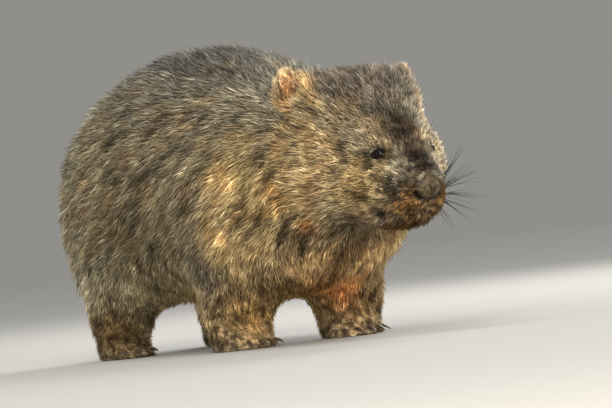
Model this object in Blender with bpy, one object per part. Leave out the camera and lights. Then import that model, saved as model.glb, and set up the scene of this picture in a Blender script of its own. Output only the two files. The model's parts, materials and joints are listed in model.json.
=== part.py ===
"""A bare-nosed wombat, adult and life size, standing square on four short legs.

The animal is modelled whole, out to the tips of its coat, and then parted with thin cuts into
the pieces that a person would name. Metres, +Z up, nose towards +X, its left side towards +Y.
The origin is on the floor, under the middle of the whole model.
"""

import math

import bmesh
import bpy
import numpy as np
from mathutils import Matrix, Vector

# Driving dimensions

MM = 0.001
GAP = 0.3 * MM                   # left between two pieces that touch

FORE_X = 38 * MM                 # line of the fore feet
HIND_X = -273 * MM               # line of the hind feet
FORE_Y = 86 * MM                 # half the track of the fore feet
HIND_Y = 98 * MM                 # half the track of the hind feet
STRIDE = {"fore_left": 2 * MM, "fore_right": -8 * MM, "hind_left": -22 * MM, "hind_right": 8 * MM}
ANKLE_Z = 47 * MM                # a foot is parted from its leg here

HEAD_PIVOT = Vector((170 * MM, 0, 272 * MM))
HEAD_TURN = math.radians(1.5)    # towards its left is positive

EAR_ROOT = Vector((234 * MM, 78 * MM, 326 * MM))
EAR_RISE = {"left": 4 * MM, "right": 9 * MM}       # middle of the ear above its root
EAR_RADII = Vector((20 * MM, 28 * MM, 41 * MM))
HOLLOW_CENTRE = Vector((16 * MM, 5 * MM, 14 * MM))
HOLLOW_RADII = Vector((15 * MM, 12 * MM, 26 * MM))
EAR_SPLAY = {"left": 35, "right": 24}              # degrees its tip leans out; the left one is laid lower
EAR_FACING = math.radians(38)    # its hollow looks this far out from straight ahead
EAR_LEAN = math.radians(12)      # its tip leans back

EYE_PLACE = Vector((354 * MM, 0, 247 * MM))        # on the straight head, seen from its side
EYE_RADIUS = 9.5 * MM
EYE_PROUD = 3 * MM               # how far the eye stands out of the face

NOSE_CENTRE = Vector((402 * MM, 0, 194 * MM))
NOSE_SIZE = Vector((24 * MM, 24 * MM, 20 * MM))

SKIN_EDGES = {"body": 13 * MM, "head": 8 * MM, "foot": 5 * MM, "nose": 6 * MM}
FACE_BUDGET = {"body": 1980, "head": 1360, "foot": 296, "ear": 150}


# The body as a sum of soft masses

class Mass:
    """An ellipsoid of flesh and coat, pitched about the Y axis and turned about the Z axis."""

    def __init__(self, centre, radii, pitch=0.0, turn=0.0):
        self.centre = np.array(centre, float) * MM
        self.radii = np.array(radii, float) * MM
        turned = Matrix.Rotation(math.radians(turn), 3, "Z")
        self.rotation = np.array(turned @ Matrix.Rotation(math.radians(pitch), 3, "Y"))

    def mirrored(self):
        other = Mass((0, 0, 0), (1, 1, 1))
        flip = np.array((1.0, -1.0, 1.0))
        other.centre = self.centre * flip
        other.radii = self.radii
        other.rotation = self.rotation * np.outer(flip, flip)
        return other

    def moved(self, offset):
        other = Mass((0, 0, 0), (1, 1, 1))
        other.centre = self.centre + np.array(offset)
        other.radii = self.radii
        other.rotation = self.rotation
        return other

    def distance(self, points):
        local = (points - self.centre) @ self.rotation
        near = np.linalg.norm(local / self.radii, axis=1)
        steep = np.linalg.norm(local / self.radii ** 2, axis=1)
        return near * (near - 1.0) / np.maximum(steep, 1e-9)

    def add_to(self, bm):
        place = Matrix.Translation(self.centre) @ Matrix(self.rotation.tolist()).to_4x4()
        stretch = Matrix.Diagonal((*self.radii, 1.0))
        bmesh.ops.create_icosphere(bm, subdivisions=3, radius=1.0, matrix=place @ stretch)


def both_sides(masses):
    return [mass for one in masses for mass in (one, one.mirrored())]


TRUNK = [
    Mass((-120, 0, 252), (246, 164, 171)),                     # barrel
    Mass((-252, 0, 224), (150, 150, 142), pitch=16),           # rump
    Mass((30, 0, 228), (145, 150, 150)),                       # shoulders
    Mass((84, 0, 236), (125, 108, 95), pitch=10),              # withers
    Mass((-95, 0, 198), (228, 146, 114)),                      # belly
    Mass((100, 0, 160), (94, 148, 84), pitch=-10),             # breast
]
NECK = [
    Mass((172, 0, 260), (105, 104, 83)),                       # nape
    Mass((165, 0, 212), (85, 96, 84)),                         # throat
]
HEAD = [
    Mass((244, 0, 280), (90, 85, 88), pitch=14),               # braincase
    Mass((300, 0, 262), (66, 52, 53), pitch=35),               # brow
    Mass((340, 0, 224), (56, 42, 42), pitch=32),               # bridge of the muzzle
    Mass((364, 0, 198), (37, 34, 36)),                         # snout end
    Mass((334, 0, 170), (48, 36, 26), pitch=4),                # chin
    Mass((280, 0, 195), (80, 70, 45), pitch=8),                # jaw
] + both_sides([
    Mass((256, 62, 232), (76, 56, 62), pitch=12, turn=-16),    # cheek ruff
    Mass((240, 52, 318), (54, 44, 44), pitch=8),               # corner of the crown
    Mass((308, 36, 226), (42, 30, 34), pitch=20),              # under the eye
    Mass((348, 21, 190), (33, 23, 27), pitch=10, turn=-10),    # whisker pad
])
FORE_LEG = [
    Mass((18, 78, 190), (85, 68, 110), pitch=-8),              # shoulder
    Mass((2, 2, 112), (52, 51, 90)),                           # forearm, from the foot's line
    Mass((0, 1, 50), (46, 46, 52)),                            # wrist
]
HIND_LEG = [
    Mass((-240, 88, 170), (105, 76, 112), pitch=10),           # thigh
    Mass((2, 0, 98), (42, 42, 80), pitch=-4),                  # shank
    Mass((0, 0, 46), (37, 36, 48)),                            # hock
]
FORE_FOOT = [Mass((2, 0, 16), (48, 40, 30))]
HIND_FOOT = [Mass((0, 0, 14), (46, 33, 26))]
FORE_TOES = [(-29, 14), (-15, 27), (0, 32), (15, 29), (28, 18)]       # across, forward, mm
HIND_TOES = [(-21, 26), (-8, 34), (6, 33), (19, 25)]

TRUNK_BLEND = 60 * MM
HEAD_BLEND = 28 * MM
NECK_BLEND = 45 * MM
LEG_BLEND = 34 * MM
FOOT_BLEND = 16 * MM
TOE_BLEND = 7 * MM
FORE_TOE_RADII = (20, 9.5, 12)
HIND_TOE_RADII = (20, 8.5, 11)
TOE_Z = 9                        # middle of a toe above the floor, mm
TOE_PITCH = 10                   # degrees that a toe slopes down to its tip
TOE_TURN = 0.5                   # degrees that a toe fans out for each millimetre across
SHOULDER_SWING = 0.4             # how much of its foot's stride a shoulder or a thigh takes part in


def smooth_min(first, second, blend):
    overlap = np.maximum(blend - np.abs(first - second), 0.0) / blend
    return np.minimum(first, second) - overlap ** 2 * blend / 4.0


def union(points, masses, blend):
    total = masses[0].distance(points)
    for mass in masses[1:]:
        total = smooth_min(total, mass.distance(points), blend)
    return total


def side_of(leg):
    return 1 if leg.endswith("left") else -1


def foot_place(leg):
    """Where a leg's foot stands on the floor."""
    line = FORE_X if leg.startswith("fore") else HIND_X
    track = FORE_Y if leg.startswith("fore") else HIND_Y
    return Vector((line + STRIDE[leg], side_of(leg) * track, 0))


def toe_rows(leg):
    """How far across and forward each toe lies, with the inner toe first."""
    rows = FORE_TOES if leg.startswith("fore") else HIND_TOES
    return [(-side_of(leg) * across, forward) for across, forward in rows]


def leg_masses(leg):
    """The upper masses belong to the trunk's side, the lower ones hang over the foot."""
    source = FORE_LEG if leg.startswith("fore") else HIND_LEG
    side = side_of(leg)
    upper = source[0] if side > 0 else source[0].mirrored()
    place = foot_place(leg)
    lower = [(mass if side > 0 else mass.mirrored()).moved(place) for mass in source[1:]]
    return [upper.moved((STRIDE[leg] * SHOULDER_SWING, 0, 0))] + lower


def foot_masses(leg):
    source = FORE_FOOT if leg.startswith("fore") else HIND_FOOT
    return [mass.moved(foot_place(leg)) for mass in source]


def toe_masses(leg):
    radii = FORE_TOE_RADII if leg.startswith("fore") else HIND_TOE_RADII
    place = foot_place(leg)
    toes = []
    for across, forward in toe_rows(leg):
        toe = Mass((forward, across, TOE_Z), radii, pitch=TOE_PITCH, turn=across * TOE_TURN)
        toes.append(toe.moved(place))
    return toes


LEGS = ("fore_left", "fore_right", "hind_left", "hind_right")
SIDES = {"left": 1, "right": -1}

HEAD_ROTATION = Matrix.Rotation(HEAD_TURN, 3, "Z")


def head_point(point):
    """A point given on the straight head, on the head as it is held."""
    return HEAD_PIVOT + HEAD_ROTATION @ (Vector(point) - HEAD_PIVOT)


def into_head(points):
    """Points of the standing animal, seen from its straight head."""
    pivot = np.array(HEAD_PIVOT)
    return (points - pivot) @ np.array(HEAD_ROTATION) + pivot


def limb_distance(points, leg):
    limb = union(points, leg_masses(leg), LEG_BLEND)
    limb = smooth_min(limb, union(points, foot_masses(leg), FOOT_BLEND), FOOT_BLEND)
    return smooth_min(limb, union(points, toe_masses(leg), TOE_BLEND), TOE_BLEND)


def head_distance(points):
    return union(into_head(points), HEAD, HEAD_BLEND)


def body_distance(points):
    """Negative inside the animal, zero on the tips of its coat."""
    total = union(points, TRUNK, TRUNK_BLEND)
    total = smooth_min(total, union(points, NECK, NECK_BLEND), NECK_BLEND)
    for leg in LEGS:
        total = smooth_min(total, limb_distance(points, leg), LEG_BLEND)
    return smooth_min(total, head_distance(points), HEAD_BLEND)


def held_head_masses():
    masses = []
    for mass in HEAD:
        held = mass.moved((0, 0, 0))
        held.centre = np.array(head_point(mass.centre))
        held.rotation = np.array(HEAD_ROTATION) @ mass.rotation
        masses.append(held)
    return masses


# Meshes

def surface_gradient(points, distance, step=0.5 * MM):
    slopes = []
    for axis in range(3):
        offset = np.zeros(3)
        offset[axis] = step
        slopes.append((distance(points + offset) - distance(points - offset)) / (2 * step))
    return np.stack(slopes, axis=1)


def settle(points, distance, rounds=4):
    """Moves points along the slope until they lie on the surface, where the distance is zero."""
    for _ in range(rounds):
        slope = surface_gradient(points, distance)
        length = np.maximum(np.sum(slope ** 2, axis=1), 0.05)
        points = points - slope * (distance(points) / length)[:, None]
    return points


FIRST_STEP = 120 * MM            # a search for the surface starts this far out
STEP = 0.25 * MM


def surface_point(start, direction):
    """The first point of the surface on a straight way in, and the way out of the body there."""
    steps = np.array([start + direction * (count * STEP) for count in range(round(FIRST_STEP / STEP))])
    surface = steps[np.argmax(body_distance(steps) < 0)]
    slope = surface_gradient(surface[None], body_distance)[0]
    return Vector(surface), Vector(slope / np.linalg.norm(slope))


def mesh_object(name, bm):
    mesh = bpy.data.meshes.new(name)
    bm.to_mesh(mesh)
    bm.free()
    made = bpy.data.objects.new(name, mesh)
    bpy.context.collection.objects.link(made)
    return made


def evaluated_bmesh(made):
    graph = bpy.context.evaluated_depsgraph_get()
    bm = bmesh.new()
    bm.from_object(made, graph)
    return bm


def remove(made):
    mesh = made.data
    bpy.data.objects.remove(made)
    bpy.data.meshes.remove(mesh)


def fused_skin(masses, edge, distance=body_distance):
    """One closed skin of even faces over some of the masses, lying on the surface."""
    bm = bmesh.new()
    for mass in masses:
        mass.add_to(bm)
    block = mesh_object("block_out", bm)
    remesh = block.modifiers.new("Fuse", "REMESH")
    remesh.mode = "VOXEL"
    remesh.voxel_size = edge
    skin = evaluated_bmesh(block)
    remove(block)
    for _ in range(2):
        bmesh.ops.smooth_vert(skin, verts=skin.verts, factor=0.5, use_axis_x=True, use_axis_y=True,
                              use_axis_z=True)
        points = settle(np.array([vert.co[:] for vert in skin.verts]), distance)
        for vert, point in zip(skin.verts, points):
            vert.co = point
    bmesh.ops.triangulate(skin, faces=skin.faces)
    return skin


def keep_side(bm, point, normal):
    """Cuts a mesh by a plane, keeps the side that the normal points away from, and closes it."""
    everything = list(bm.verts) + list(bm.edges) + list(bm.faces)
    cut = bmesh.ops.bisect_plane(bm, geom=everything, plane_co=point, plane_no=normal,
                                 clear_outer=True, dist=1e-6)
    rim = [item for item in cut["geom_cut"] if isinstance(item, bmesh.types.BMEdge)]
    bmesh.ops.edgenet_fill(bm, edges=rim)
    bmesh.ops.triangulate(bm, faces=[face for face in bm.faces if len(face.verts) > 3])
    bmesh.ops.recalc_face_normals(bm, faces=bm.faces)


def ellipsoid_cutter(name, centre, radii, grow=0.0, subdivisions=3):
    bm = bmesh.new()
    size = Vector(radii) + Vector((grow, grow, grow))
    bmesh.ops.create_icosphere(bm, subdivisions=subdivisions, radius=1.0,
                               matrix=Matrix.Translation(centre) @ Matrix.Diagonal((*size, 1.0)))
    cutter = mesh_object(name, bm)
    cutter.hide_render = True
    cutter.display_type = "WIRE"
    return cutter


def carve(made, cutter, operation):
    """Cuts a piece with a cutter, which is then thrown away."""
    cut = made.modifiers.new("Cut", "BOOLEAN")
    cut.operation = operation
    cut.solver = "EXACT"
    cut.object = cutter
    settle_modifiers(made)
    remove(cutter)


def settle_modifiers(made):
    """Turns what the modifiers make into the object's own mesh, so that its cutters can go."""
    bm = evaluated_bmesh(made)
    bmesh.ops.dissolve_degenerate(bm, dist=1e-6, edges=bm.edges)
    bmesh.ops.triangulate(bm, faces=bm.faces)
    made.modifiers.clear()
    bm.to_mesh(made.data)
    bm.free()


# Materials

def material(name, colour, roughness, metallic=0.0):
    made = bpy.data.materials.new(name)
    made.use_nodes = True
    shader = made.node_tree.nodes["Principled BSDF"]
    shader.inputs["Base Color"].default_value = (*[(part / 255) ** 2.2 for part in colour], 1.0)
    shader.inputs["Roughness"].default_value = roughness
    shader.inputs["Metallic"].default_value = metallic
    return made


def dress(made, finish):
    made.data.materials.clear()
    made.data.materials.append(finish)
    made.data.shade_smooth()
    made.data.set_sharp_from_angle(angle=math.radians(50))


# Cuts: a point on the plane and the direction of the side that lies further forward

SHOULDER_CUT = (Vector((118 * MM, 0, 250 * MM)), Vector((1.0, 0, 0.45)).normalized())
NAPE_CUT = (Vector((188 * MM, 0, 250 * MM)), Vector((1.0, 0, 0.12)).normalized())

LEG_CUTTERS = {
    "fore": (Vector((30 * MM, 122 * MM, 88 * MM)), Vector((84 * MM, 94 * MM, 145 * MM))),
    "hind": (Vector((-256 * MM, 128 * MM, 92 * MM)), Vector((118 * MM, 94 * MM, 150 * MM))),
}

TAIL_Z = 238 * MM
TAIL_RADII = Vector((15 * MM, 14 * MM, 23 * MM))
TAIL_SUNK = 4 * MM
BEHIND = -470 * MM               # a place well behind the animal


def tail_place():
    """On the rump, half sunk into its coat."""
    surface, outward = surface_point(Vector((BEHIND, 0, TAIL_Z)), Vector((1, 0, 0)))
    return surface - outward * TAIL_SUNK


def cutter_place(leg):
    centre, radii = LEG_CUTTERS[leg.split("_")[0]]
    return Vector((centre.x, side_of(leg) * centre.y, centre.z)), radii


def thin_out(made, kind):
    """Merges the flattest faces until the piece keeps to its own budget of triangles."""
    count = len(made.data.polygons)
    if count <= FACE_BUDGET[kind]:
        return
    thin = made.modifiers.new("Thin", "DECIMATE")
    thin.ratio = FACE_BUDGET[kind] / count
    settle_modifiers(made)


def make_body_skin():
    masses = TRUNK + NECK + held_head_masses()
    for leg in LEGS:
        masses += leg_masses(leg) + foot_masses(leg)
    body = mesh_object("body_skin", fused_skin(masses, SKIN_EDGES["body"]))
    thin_out(body, "body")
    skin = evaluated_bmesh(body)
    remove(body)
    return skin


def make_trunk(body, fur):
    skin = body.copy()
    point, forward = SHOULDER_CUT
    keep_side(skin, point, forward)
    keep_side(skin, Vector((0, 0, ANKLE_Z + 2 * GAP)), Vector((0, 0, -1)))
    trunk = mesh_object("trunk", skin)
    for leg in LEGS:
        centre, radii = cutter_place(leg)
        cutter = ellipsoid_cutter("cutter_" + leg, centre, radii, grow=GAP)
        carve(trunk, cutter, "DIFFERENCE")
    tail_cutter = ellipsoid_cutter("cutter_tail", tail_place(), TAIL_RADII, grow=GAP, subdivisions=2)
    carve(trunk, tail_cutter, "DIFFERENCE")
    dress(trunk, fur)
    return trunk


def make_tail(fur):
    tail = ellipsoid_cutter("tail", tail_place(), TAIL_RADII, subdivisions=2)
    tail.hide_render = False
    tail.display_type = "TEXTURED"
    dress(tail, fur)
    return tail


def make_neck(body, fur):
    skin = body.copy()
    shoulder, forward = SHOULDER_CUT
    keep_side(skin, shoulder + forward * GAP, -forward)
    nape, ahead = NAPE_CUT
    keep_side(skin, nape - ahead * GAP, ahead)
    neck = mesh_object("neck", skin)
    dress(neck, fur)
    return neck


def make_leg(leg, body, fur):
    skin = body.copy()
    keep_side(skin, Vector((0, 0, ANKLE_Z + GAP)), Vector((0, 0, -1)))
    made = mesh_object("leg_" + leg, skin)
    centre, radii = cutter_place(leg)
    cutter = ellipsoid_cutter("cutter_" + leg, centre, radii)
    carve(made, cutter, "INTERSECT")
    dress(made, fur)
    return made


def make_foot(leg, claws, fur):
    masses = leg_masses(leg)[2:] + foot_masses(leg) + toe_masses(leg)
    skin = fused_skin(masses, SKIN_EDGES["foot"], lambda points: limb_distance(points, leg))
    made = mesh_object("foot_" + leg, skin)
    thin_out(made, "foot")
    foot = evaluated_bmesh(made)
    keep_side(foot, Vector((0, 0, ANKLE_Z)), Vector((0, 0, 1)))
    keep_side(foot, Vector((0, 0, 0)), Vector((0, 0, -1)))
    foot.to_mesh(made.data)
    foot.free()
    for claw in claws:
        carve(made, grown_copy(claw, GAP), "DIFFERENCE")
    dress(made, fur)
    return made


def make_head():
    skin = fused_skin(TRUNK + NECK + held_head_masses(), SKIN_EDGES["head"])
    point, forward = NAPE_CUT
    keep_side(skin, point, -forward)
    head = mesh_object("head", skin)
    thin_out(head, "head")
    return head


def make_nose(leather):
    skin = fused_skin(held_head_masses(), SKIN_EDGES["nose"], head_distance)
    nose = mesh_object("nose", skin)
    carve(nose, ellipsoid_cutter("cutter_nose", head_point(NOSE_CENTRE), NOSE_SIZE), "INTERSECT")
    dress(nose, leather)
    return nose


def eye_centre(side):
    """Below the face beside the eye's place, so deep that only its front stands out."""
    start = head_point(EYE_PLACE + Vector((0, side * FIRST_STEP, 0)))
    surface, outward = surface_point(start, HEAD_ROTATION @ Vector((0, -side, 0)))
    return surface - outward * (EYE_RADIUS - EYE_PROUD)


def make_face_pits(head):
    """The eyes and the nose sit in the head with a thin gap round them."""
    pit = ellipsoid_cutter("cutter_nose", head_point(NOSE_CENTRE), NOSE_SIZE, grow=GAP)
    carve(head, pit, "DIFFERENCE")
    ball = Vector((EYE_RADIUS, EYE_RADIUS, EYE_RADIUS))
    for side in SIDES.values():
        socket = ellipsoid_cutter("cutter_eye", eye_centre(side), ball, 3 * GAP, subdivisions=2)
        carve(head, socket, "DIFFERENCE")


def make_eye(side, name, glossy):
    bm = bmesh.new()
    bmesh.ops.create_uvsphere(bm, u_segments=12, v_segments=8, radius=EYE_RADIUS,
                              matrix=Matrix.Translation(eye_centre(side)))
    eye = mesh_object(name, bm)
    dress(eye, glossy)
    return eye


# Ears: short cones of fur on the corners of the crown, with a hollow scooped out of each

def make_ear(side, word, head, fur):
    ear = ellipsoid_cutter("ear_" + word, Vector((0, 0, EAR_RISE[word])), EAR_RADII)
    out = Vector((HOLLOW_CENTRE.x, side * HOLLOW_CENTRE.y, HOLLOW_CENTRE.z))
    hollow = ellipsoid_cutter("cutter_hollow", out, HOLLOW_RADII)
    carve(ear, hollow, "DIFFERENCE")
    turn = Matrix.Rotation(side * EAR_FACING, 4, "Z")
    lean = Matrix.Rotation(-EAR_LEAN, 4, "Y")
    splay = Matrix.Rotation(-side * math.radians(EAR_SPLAY[word]), 4, "X")
    place = head_point(Vector((EAR_ROOT.x, side * EAR_ROOT.y, EAR_ROOT.z)))
    held = Matrix.Rotation(HEAD_TURN, 4, "Z")
    ear.data.transform(Matrix.Translation(place) @ held @ splay @ lean @ turn)
    thin_out(ear, "ear")
    carve(ear, grown_copy(head, GAP), "DIFFERENCE")
    ear.hide_render = False
    ear.display_type = "TEXTURED"
    dress(ear, fur)
    return ear


def grown_copy(made, distance):
    """A cutter of a piece's own shape, a little larger all round."""
    bm = bmesh.new()
    bm.from_mesh(made.data)
    bm.normal_update()
    moves = [vert.normal * distance for vert in bm.verts]
    for vert, move in zip(bm.verts, moves):
        vert.co += move
    cutter = mesh_object("cutter_" + made.name, bm)
    cutter.hide_render = True
    cutter.display_type = "WIRE"
    return cutter


# Claws

FORE_CLAW = (24 * MM, 9 * MM, 5.5 * MM)      # length, width and depth at the root
HIND_CLAW = (17 * MM, 8 * MM, 5.5 * MM)
CLAW_SIDES = 6
CLAW_RINGS = 3
CLAW_DROP = math.radians(38)                 # how far a claw bends towards the floor
CLAW_ROOT_Z = 11 * MM
CLAW_SUNK = 6 * MM                           # its root lies this far inside the toe
CLAW_TAPER = 1.6                             # the higher, the later a claw narrows


def make_claw(name, root, heading, size, horn):
    length, width, depth = size
    bm = bmesh.new()
    rings = []
    for step in range(CLAW_RINGS):
        along = step / CLAW_RINGS
        bend = CLAW_DROP * along
        taper = math.sqrt(1 - along ** CLAW_TAPER)
        middle = Vector((length * along, 0, -length * along * math.tan(bend) * 0.5))
        ring = []
        for corner in range(CLAW_SIDES):
            angle = 2 * math.pi * corner / CLAW_SIDES
            flat = Vector((0, math.cos(angle) * width / 2 * taper, math.sin(angle) * depth / 2 * taper))
            ring.append(bm.verts.new(middle + flat))
        rings.append(ring)
    tip = bm.verts.new(Vector((length, 0, -length * math.tan(CLAW_DROP) * 0.5)))
    for low, high in zip(rings, rings[1:]):
        for corner in range(CLAW_SIDES):
            following = (corner + 1) % CLAW_SIDES
            bm.faces.new([low[corner], low[following], high[following], high[corner]])
    for corner in range(CLAW_SIDES):
        bm.faces.new([rings[-1][corner], rings[-1][(corner + 1) % CLAW_SIDES], tip])
    bm.faces.new(list(reversed(rings[0])))
    bmesh.ops.recalc_face_normals(bm, faces=bm.faces)
    bmesh.ops.triangulate(bm, faces=bm.faces)
    place = Matrix.Translation(root) @ Matrix.Rotation(heading, 4, "Z")
    bmesh.ops.transform(bm, matrix=place, verts=bm.verts)
    claw = mesh_object(name, bm)
    dress(claw, horn)
    return claw


def make_claws(leg, horn):
    size = FORE_CLAW if leg.startswith("fore") else HIND_CLAW
    reach = (FORE_TOE_RADII if leg.startswith("fore") else HIND_TOE_RADII)[0] * MM
    claws = []
    for number, (across, forward) in enumerate(toe_rows(leg), start=1):
        heading = math.radians(across * TOE_TURN)
        ahead = Vector((math.cos(heading), math.sin(heading), 0))
        toe = foot_place(leg) + Vector((forward * MM, across * MM, CLAW_ROOT_Z))
        root = toe + ahead * (reach - CLAW_SUNK)
        claws.append(make_claw("claw_%s_%d" % (leg, number), root, heading, size, horn))
    return claws


def centre_on_floor(pieces):
    """Moves the whole animal so that the origin is under the middle of its box."""
    corners = np.array([vert.co[:] for piece in pieces for vert in piece.data.vertices])
    low, high = corners.min(axis=0), corners.max(axis=0)
    shift = Matrix.Translation((-(low[0] + high[0]) / 2, -(low[1] + high[1]) / 2, 0))
    for piece in pieces:
        piece.data.transform(shift)


def main():
    for existing in list(bpy.data.objects):
        bpy.data.objects.remove(existing, do_unlink=True)

    back_fur = material("back_fur", (101, 95, 80), 0.85)
    head_fur = material("head_fur", (140, 118, 84), 0.85)
    leg_fur = material("leg_fur", (112, 90, 58), 0.85)
    foot_fur = material("foot_fur", (84, 66, 44), 0.8)
    ear_fur = material("ear_fur", (150, 114, 75), 0.85)
    nose_leather = material("nose_leather", (93, 79, 60), 0.45)
    eye_cornea = material("eye_cornea", (18, 14, 12), 0.05)
    claw_horn = material("claw_horn", (70, 60, 50), 0.35)

    body = make_body_skin()
    trunk = make_trunk(body, back_fur)
    neck = make_neck(body, back_fur)
    head = make_head()
    tail = make_tail(back_fur)
    ears = [make_ear(side, word, head, ear_fur) for word, side in SIDES.items()]
    eyes = [make_eye(side, "eye_" + word, eye_cornea) for word, side in SIDES.items()]
    nose = make_nose(nose_leather)
    make_face_pits(head)
    dress(head, head_fur)
    pieces = [trunk, neck, head, tail, nose] + ears + eyes
    for leg in LEGS:
        claws = make_claws(leg, claw_horn)
        pieces += [make_leg(leg, body, leg_fur), make_foot(leg, claws, foot_fur)] + claws
    body.free()
    centre_on_floor(pieces)


main()
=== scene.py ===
# %% [markdown]
# # A bare-nosed wombat, life size
#
# A wombat is a low, heavy digger: a barrel of a body on four short legs, a broad head, small
# ears and a thick coarse coat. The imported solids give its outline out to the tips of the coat.
# Here they get one skin that lies inside that outline, and a coat of mesh tufts that fills the
# room between. The solids come in first, because every later piece takes its place from them.

# %% Load the solids
import json
import math

import bmesh
import bpy
import numpy as np
from mathutils import Matrix, Vector

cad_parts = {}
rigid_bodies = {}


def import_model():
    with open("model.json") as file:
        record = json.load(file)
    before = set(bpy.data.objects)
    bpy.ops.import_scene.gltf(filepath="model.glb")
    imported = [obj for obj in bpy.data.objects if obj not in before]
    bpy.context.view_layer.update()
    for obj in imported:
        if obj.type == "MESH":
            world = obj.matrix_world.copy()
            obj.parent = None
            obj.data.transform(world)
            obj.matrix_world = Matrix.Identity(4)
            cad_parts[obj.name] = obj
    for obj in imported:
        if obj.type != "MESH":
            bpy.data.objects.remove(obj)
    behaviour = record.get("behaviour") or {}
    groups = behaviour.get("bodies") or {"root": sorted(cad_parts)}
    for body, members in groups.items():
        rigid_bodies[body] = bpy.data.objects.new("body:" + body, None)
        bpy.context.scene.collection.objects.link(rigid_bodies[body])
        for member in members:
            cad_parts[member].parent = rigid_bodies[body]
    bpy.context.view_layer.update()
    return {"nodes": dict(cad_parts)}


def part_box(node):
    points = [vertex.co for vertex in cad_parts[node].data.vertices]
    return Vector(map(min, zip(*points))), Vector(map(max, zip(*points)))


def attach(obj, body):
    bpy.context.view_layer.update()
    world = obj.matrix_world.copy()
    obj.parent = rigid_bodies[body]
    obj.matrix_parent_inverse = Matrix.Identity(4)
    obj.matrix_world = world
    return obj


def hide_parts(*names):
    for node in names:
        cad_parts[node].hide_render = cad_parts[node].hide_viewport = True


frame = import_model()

MM = 0.001

# %% [markdown]
# ## The stand, the light and the camera
#
# A museum photographer puts a stuffed animal on a pale seamless sheet, lights it from large
# soft boxes and steps far back with a long lens, so that near and far legs keep their size.
# The sheet is one curved mesh, so that no horizon shows behind the animal.

# %% Camera
PICTURE = (612, 408)
METRES_PER_PIXEL = 1.38 * MM
SENSOR = 36.0
AZIMUTH, ELEVATION, ROLL = (math.radians(angle) for angle in (58, 1.5, 6.5))
DISTANCE = 8.5

foot_low, foot_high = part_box("foot_fore_right")
near_foot = Vector(((foot_low.x + foot_high.x) / 2 - 5 * MM, (foot_low.y + foot_high.y) / 2, 0))
NEAR_FOOT_PIXEL = (240, 350)

back = Vector((math.sin(AZIMUTH) * math.cos(ELEVATION), -math.cos(AZIMUTH) * math.cos(ELEVATION),
               math.sin(ELEVATION)))
level_right = Vector((math.cos(AZIMUTH), math.sin(AZIMUTH), 0))
level_up = back.cross(level_right)
right = math.cos(ROLL) * level_right - math.sin(ROLL) * level_up
up = math.sin(ROLL) * level_right + math.cos(ROLL) * level_up
aim = near_foot + METRES_PER_PIXEL * ((PICTURE[0] / 2 - NEAR_FOOT_PIXEL[0]) * right
                                      + (NEAR_FOOT_PIXEL[1] - PICTURE[1] / 2) * up)

camera = bpy.data.objects.new("camera", bpy.data.cameras.new("camera"))
bpy.context.scene.collection.objects.link(camera)
camera.data.sensor_width = SENSOR
camera.data.lens = SENSOR * DISTANCE / (PICTURE[0] * METRES_PER_PIXEL)
camera.data.clip_end = 60
camera.location = near_foot + DISTANCE * back
lens_back = (camera.location - aim).normalized()
lens_right = (right - lens_back * right.dot(lens_back)).normalized()
turn = Matrix((lens_right, lens_back.cross(lens_right), lens_back)).transposed()
camera.rotation_mode = "QUATERNION"
camera.rotation_quaternion = turn.to_quaternion()
bpy.context.scene.camera = camera
print("camera", round(camera.data.lens), "mm lens,", round(camera.location.z, 2), "m above the floor")


# %% Colours, materials and nodes
def linear(code, strength=1.0):
    """An sRGB hex colour as linear red, green and blue."""
    parts = np.array([int(code[i:i + 2], 16) for i in (1, 3, 5)]) / 255
    return np.where(parts > 0.04045, ((parts + 0.055) / 1.055) ** 2.4, parts / 12.92) * strength


def add(tree, kind, settings=None, **inputs):
    """Adds a node; an input takes a value or another node's output, and _ stands for a space."""
    node = tree.nodes.new(kind)
    for name, value in (settings or {}).items():
        setattr(node, name, value)
    for name, value in inputs.items():
        socket = node.inputs[int(name[1:])] if name[1:].isdigit() else node.inputs[name.replace("_", " ")]
        if isinstance(value, bpy.types.NodeSocket):
            tree.links.new(value, socket)
        else:
            socket.default_value = value
    return node


def new_material(name):
    made = bpy.data.materials.new(name)
    made.use_nodes = True
    return made, made.node_tree, made.node_tree.nodes["Principled BSDF"]


# %% Stand and light
# (metres behind the animal, height); far and low enough for a camera behind it to look over
SWEEP = [(-20.0, 0.0), (10.0, 0.0), (11.4, 0.12), (12.3, 0.5), (12.8, 1.1), (13.0, 2.0)]
SWEEP_HALF_WIDTH = 12

bm = bmesh.new()
for along, height in SWEEP:
    for across in (-SWEEP_HALF_WIDTH, SWEEP_HALF_WIDTH):
        bm.verts.new(-along * Vector((back.x, back.y, 0)) + across * level_right + Vector((0, 0, height)))
bm.verts.ensure_lookup_table()
for low in range(0, 2 * len(SWEEP) - 2, 2):
    bm.faces.new([bm.verts[low + step] for step in (0, 1, 3, 2)])
bmesh.ops.recalc_face_normals(bm, faces=bm.faces)
sweep = bpy.data.objects.new("studio_sweep", bpy.data.meshes.new("studio_sweep"))
bm.to_mesh(sweep.data)
bm.free()
sweep.data.shade_smooth()
bpy.context.scene.collection.objects.link(sweep)
paper, tree, shader = new_material("seamless_paper")
shader.inputs["Base Color"].default_value = (*linear("#aeaaa1"), 1)
shader.inputs["Roughness"].default_value = 0.9
sweep.data.materials.append(paper)

world = bpy.data.worlds.new("studio_air")
world.use_nodes = True
world.node_tree.nodes["Background"].inputs["Color"].default_value = (0.84, 0.87, 0.92, 1)
world.node_tree.nodes["Background"].inputs["Strength"].default_value = 0.72
bpy.context.scene.world = world


def soft_box(name, place, size, power, colour):
    light = bpy.data.lights.new(name, "AREA")
    light.shape = "DISK"
    light.size = size
    light.energy = power
    light.color = colour
    box = bpy.data.objects.new(name, light)
    bpy.context.scene.collection.objects.link(box)
    box.location = place
    box.rotation_mode = "QUATERNION"
    box.rotation_quaternion = (Vector(place) - Vector((0, 0, 0.2))).to_track_quat("Z", "Y")


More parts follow.
